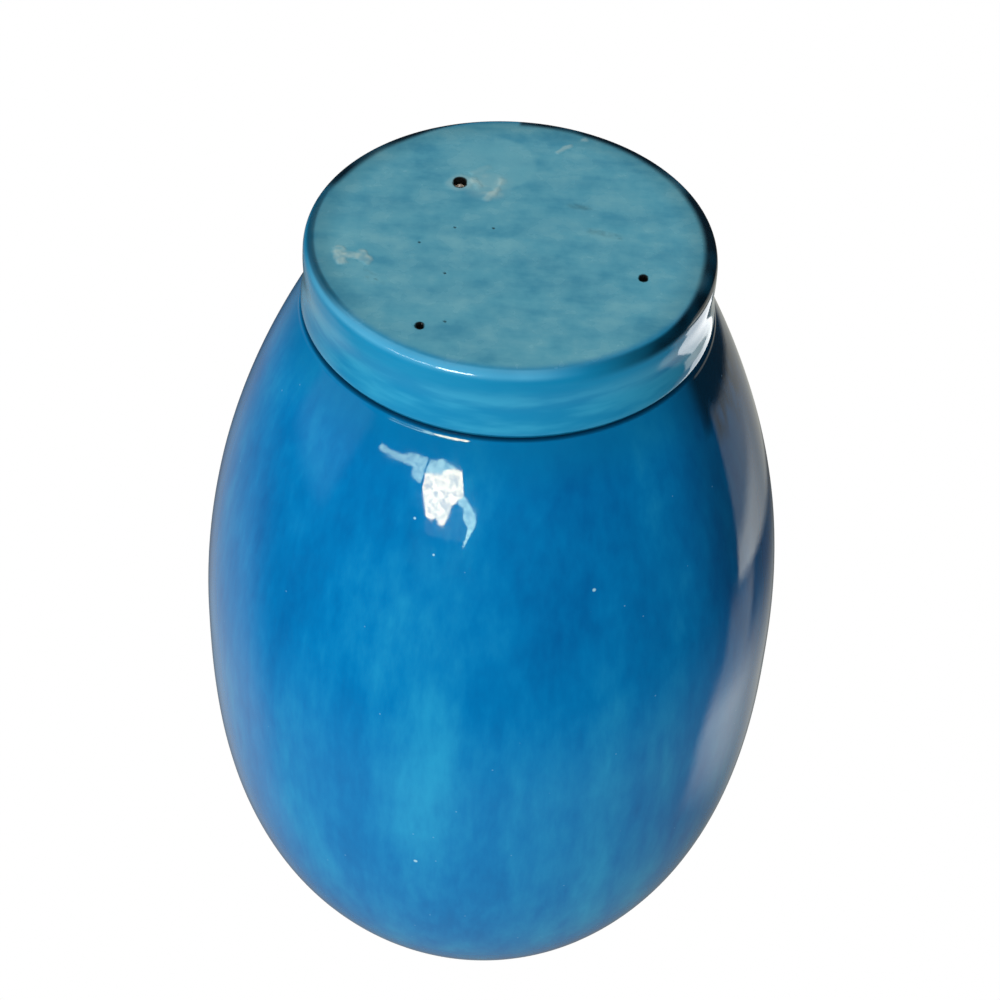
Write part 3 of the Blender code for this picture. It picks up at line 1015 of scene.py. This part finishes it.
def mirrored_room(tree, sides):
    """Brightness of what the glaze mirrors: a dim room with pale patches at the right and left."""
    front = calc(tree, "MULTIPLY", sides["Y"], -1.0)
    turn = calc(tree, "DEGREES", calc(tree, "ARCTAN2", sides["X"], front))
    rise = calc(tree, "DEGREES", calc(tree, "ARCSINE", sides["Z"]))
    level = span(tree, rise, *ROOM_RISES, ROOM_LOW, ROOM_HIGH)
    brighter = span(tree, turn, *STREAK_SPAN)
    streak = calc(tree, "MULTIPLY", patch(tree, turn, rise, *ROOM_STREAK), brighter)
    level = calc(tree, "ADD", level, calc(tree, "ADD", right_patch(tree, turn, rise), streak))
    level = calc(tree, "MULTIPLY_ADD", patch(tree, turn, rise, *ROOM_BETWEEN), BETWEEN_LEVEL, level)
    leaning = calc(tree, "MULTIPLY_ADD", rise, VEIL_SLOPE, turn)
    level = calc(tree, "MULTIPLY_ADD", patch(tree, leaning, rise, *ROOM_VEIL), VEIL_LEVEL, level)
    return calc(tree, "MULTIPLY_ADD", patch(tree, turn, rise, *ROOM_LEFT), LEFT_LEVEL, level)


def add_world():
    """Even light all round, with a white background for the camera and a dim room for reflections."""
    world = bpy.data.worlds.new("studio")
    bpy.context.scene.world = world
    world.use_nodes = True
    tree = world.node_tree
    shader = tree.nodes["Background"]
    path = add_node(tree, "ShaderNodeLightPath").outputs
    away = add_node(tree, "ShaderNodeTexCoord").outputs["Generated"]
    sides = add_node(tree, "ShaderNodeSeparateXYZ", {"Vector": away}).outputs
    mirrored = calc(tree, "MAXIMUM", path["Is Glossy Ray"], path["Is Transmission Ray"])
    seen = calc(tree, "MULTIPLY", mirrored_room(tree, sides), mirrored)
    lit = calc(tree, "SUBTRACT", 1.0, mirrored)
    lit = calc(tree, "MULTIPLY", span(tree, sides["Z"], -0.3, 0.3, LIGHT_BELOW, LIGHT_ABOVE), lit)
    across = span(tree, sides["X"], -0.90, -0.10, DIM_SIDE, 1.0)
    sky = span(tree, sides["Z"], 0.05, 0.5, 0.0, SKY_SHARE)
    lit = calc(tree, "MULTIPLY", calc(tree, "MAXIMUM", across, sky), lit)
    level = calc(tree, "MAXIMUM", calc(tree, "ADD", seen, lit), path["Is Camera Ray"])
    plug(tree, shader.inputs["Color"], blend(tree, mirrored, (1, 1, 1, 1), ROOM_WHITE))
    plug(tree, shader.inputs["Strength"], level)


def add_floor():
    """Pale floor that is seen from above only, so it doesn't hide the underside from the camera."""
    corners = ((-1, -1), (1, -1), (1, 1), (-1, 1))
    points = [(x * FLOOR_HALF, y * FLOOR_HALF, -FLOOR_DROP) for x, y in corners]
    mesh = new_mesh("floor", points, [(0, 1, 2, 3)])
    made, tree, shader = surface("floor")
    plug(tree, shader.inputs["Base Color"], blend(tree, clouds(tree, 3, 3, 3), FLOOR_DARK, FLOOR_LIGHT))
    plug(tree, shader.inputs["Roughness"], 0.9)
    plug(tree, shader.inputs["Emission Color"], (1, 1, 1, 1))
    plug(tree, shader.inputs["Emission Strength"], FLOOR_GLOW)
    away = add_node(tree, "ShaderNodeVectorMath", {0: where(tree)}, operation="LENGTH").outputs["Value"]
    white = add_node(tree, "ShaderNodeEmission", {"Strength": 1.0}).outputs[0]
    far = span(tree, away, *FLOOR_FADE)
    swept = add_node(tree, "ShaderNodeMixShader", {0: far, 1: shader.outputs[0], 2: white}).outputs[0]
    below = add_node(tree, "ShaderNodeNewGeometry").outputs["Backfacing"]
    clear = add_node(tree, "ShaderNodeBsdfTransparent").outputs[0]
    mixed = add_node(tree, "ShaderNodeMixShader", {0: below, 1: swept, 2: clear}).outputs[0]
    plug(tree, tree.nodes["Material Output"].inputs["Surface"], mixed)
    mesh.materials.append(made)
    floor = bpy.data.objects.new("floor", mesh)
    bpy.context.scene.collection.objects.link(floor)
    floor.visible_diffuse = False
    floor.visible_glossy = False
    floor.visible_transmission = False
    floor.visible_shadow = False


def add_camera():
    data = bpy.data.cameras.new("camera")
    data.lens = CAMERA_LENS
    data.sensor_width = CAMERA_FRAME
    camera = bpy.data.objects.new("camera", data)
    bpy.context.scene.collection.objects.link(camera)
    place = CAMERA_DISTANCE * toward(0, math.degrees(CAMERA_ELEVATION))
    forward = (CAMERA_AIM - place).normalized()
    right = forward.cross(Vector((0, 0, -1))).normalized()
    turn = Matrix.Rotation(CAMERA_ROLL, 3, forward)
    right = turn @ right
    up = right.cross(forward)
    camera.matrix_world = Matrix.Translation(place) @ Matrix((right, up, -forward)).transposed().to_4x4()
    bpy.context.scene.camera = camera


add_camera()
base, foot, body = build_vase()
add_lamps(base, foot)
for card_row in WINDOW_CARDS:
    add_window(body, *card_row)
add_world()
add_floor()
bpy.context.scene.view_settings.view_transform = "Standard"
